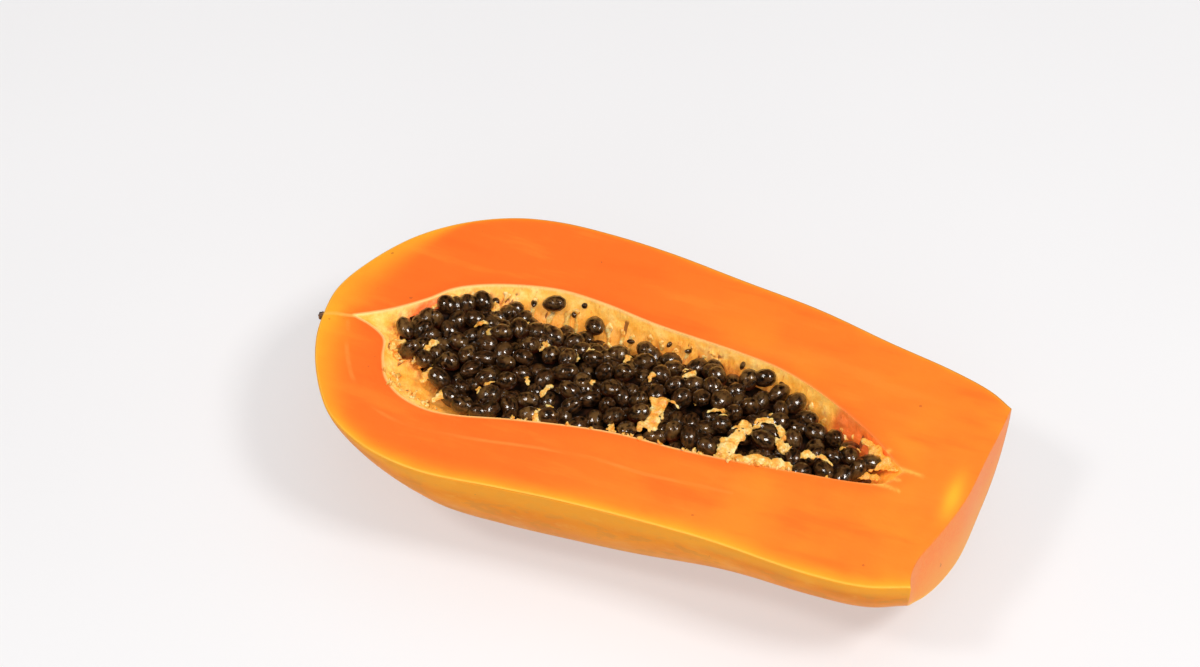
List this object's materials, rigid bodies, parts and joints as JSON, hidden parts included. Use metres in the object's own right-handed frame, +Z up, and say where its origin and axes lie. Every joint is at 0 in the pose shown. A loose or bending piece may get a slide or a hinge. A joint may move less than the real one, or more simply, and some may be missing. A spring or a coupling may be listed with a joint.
{
  "type": "halved papaya",
  "caption": "Half of a ripe papaya, cut lengthwise and trimmed at the stem end, lying on its back with its seed cavity open and full of seeds.",
  "frame": {"origin": "centre of the bounding box, on the surface the half rests on", "axes": "+X along the fruit from the blossom tip to the trimmed stem end, +Y across the cut face, +Z up out of the cut face"},
  "size_m": [0.2256, 0.1226, 0.0474],
  "materials": {
    "flesh": "satin",
    "seeds": "gloss"
  },
  "bodies": {
    "root": {"papaya_half": "flesh", "seeds": "seeds"}
  },
  "joints": []
}
